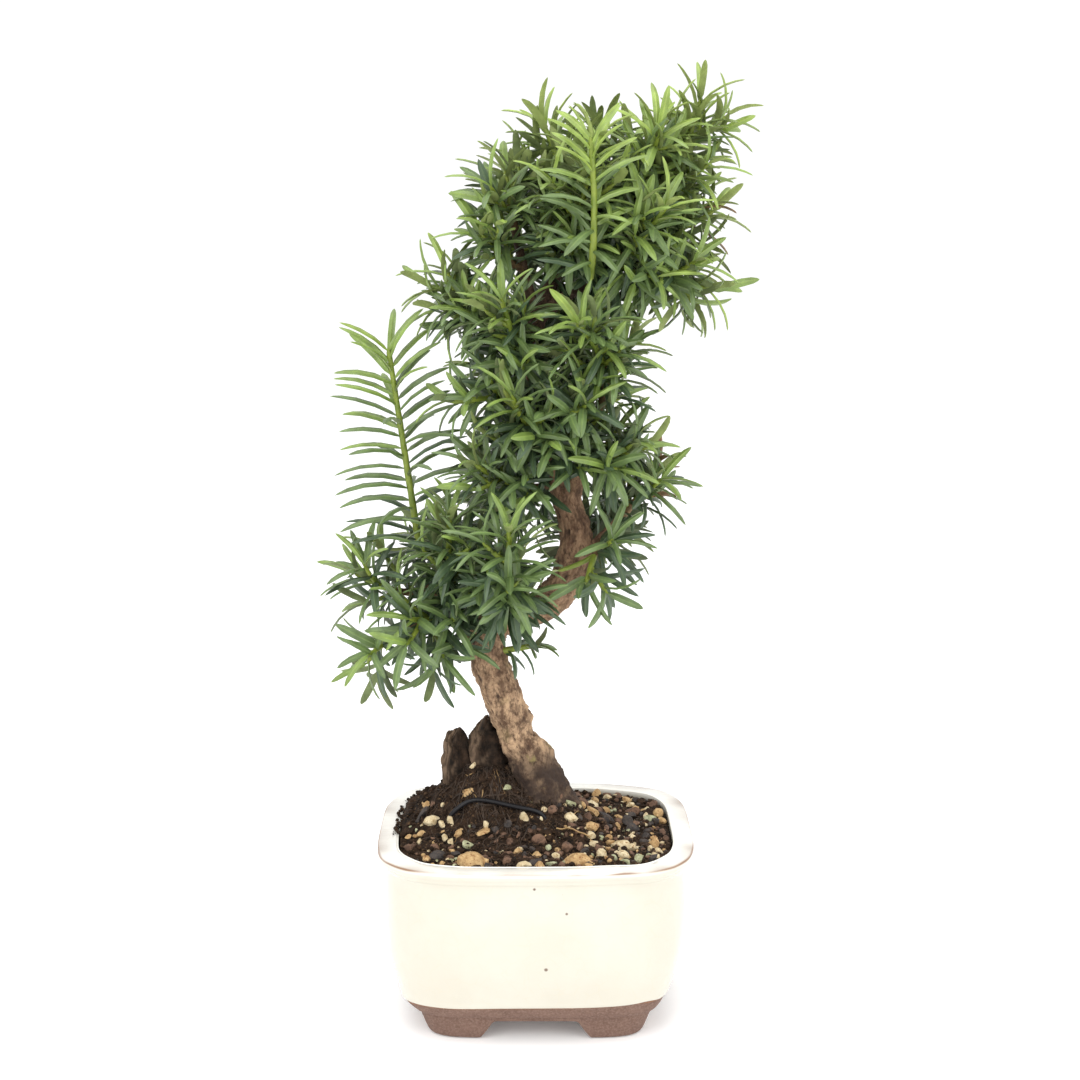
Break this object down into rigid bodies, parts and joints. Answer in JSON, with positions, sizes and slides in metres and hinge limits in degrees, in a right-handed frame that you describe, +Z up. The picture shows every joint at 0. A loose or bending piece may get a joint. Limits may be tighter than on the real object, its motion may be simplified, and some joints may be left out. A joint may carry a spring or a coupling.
{
  "type": "potted hybrid yew",
  "caption": "Small hybrid yew with a curved bare trunk and open needled crown, growing from gravelled soil in a square cream glazed pot on corner feet.",
  "frame": {"origin": "on the ground, under the middle of the plant and its pot", "axes": "+Z up along the height of the plant, +X to the right and -Y towards the front of the pot"},
  "size_m": [0.1788, 0.1248, 0.3865],
  "materials": {
    "cream_glaze": "glossy cream glaze over brown clay",
    "peat_soil": "moist dark peat with fibres",
    "tan_gravel": "dull mixed gravel",
    "black_wire": "black coated training wire",
    "tan_bark": "flaky tan to red brown bark",
    "dark_old_root": "dark worn old root wood",
    "dark_green_needles": "satin dark green needles on green shoots"
  },
  "bodies": {
    "root": {"pot": "cream_glaze", "soil": "peat_soil", "stone_front_left": "tan_gravel", "stone_front_right": "tan_gravel", "stone_left": "tan_gravel", "stone_middle": "tan_gravel", "stone_right": "tan_gravel", "stone_right_back": "tan_gravel", "anchor_wire": "black_wire", "root_stump": "dark_old_root", "trunk": "tan_bark", "bough_back": "tan_bark", "bough_back_low": "tan_bark", "bough_crown_back": "tan_bark", "bough_crown_left": "tan_bark", "bough_crown_right": "tan_bark", "bough_left": "tan_bark", "bough_left_low": "tan_bark", "bough_left_middle": "tan_bark", "bough_right": "tan_bark", "bough_right_low": "tan_bark", "bend_sprig": "dark_green_needles", "crown_back_left": "dark_green_needles", "crown_back_low": "dark_green_needles", "crown_back_right": "dark_green_needles", "crown_back_top": "dark_green_needles", "crown_front_center": "dark_green_needles", "crown_leader": "dark_green_needles", "crown_left_low": "dark_green_needles", "crown_left_outer": "dark_green_needles", "crown_right_front": "dark_green_needles", "crown_right_inner": "dark_green_needles", "crown_right_leader": "dark_green_needles", "crown_right_low": "dark_green_needles", "crown_right_side": "dark_green_needles", "crown_right_under": "dark_green_needles", "left_shoulder": "dark_green_needles", "long_left_shoot": "dark_green_needles", "low_back": "dark_green_needles", "low_back_left": "dark_green_needles", "low_back_right": "dark_green_needles", "low_front": "dark_green_needles", "low_left": "dark_green_needles", "low_left_front": "dark_green_needles", "low_left_hanging": "dark_green_needles", "low_left_inner": "dark_green_needles", "low_left_under": "dark_green_needles", "low_right": "dark_green_needles", "low_right_front": "dark_green_needles", "middle_back": "dark_green_needles", "middle_back_left": "dark_green_needles", "middle_back_right": "dark_green_needles", "middle_front": "dark_green_needles", "middle_front_left": "dark_green_needles", "middle_left": "dark_green_needles", "middle_left_front": "dark_green_needles", "middle_left_low": "dark_green_needles", "middle_right": "dark_green_needles", "middle_right_front": "dark_green_needles", "middle_right_low": "dark_green_needles"}
  },
  "joints": []
}
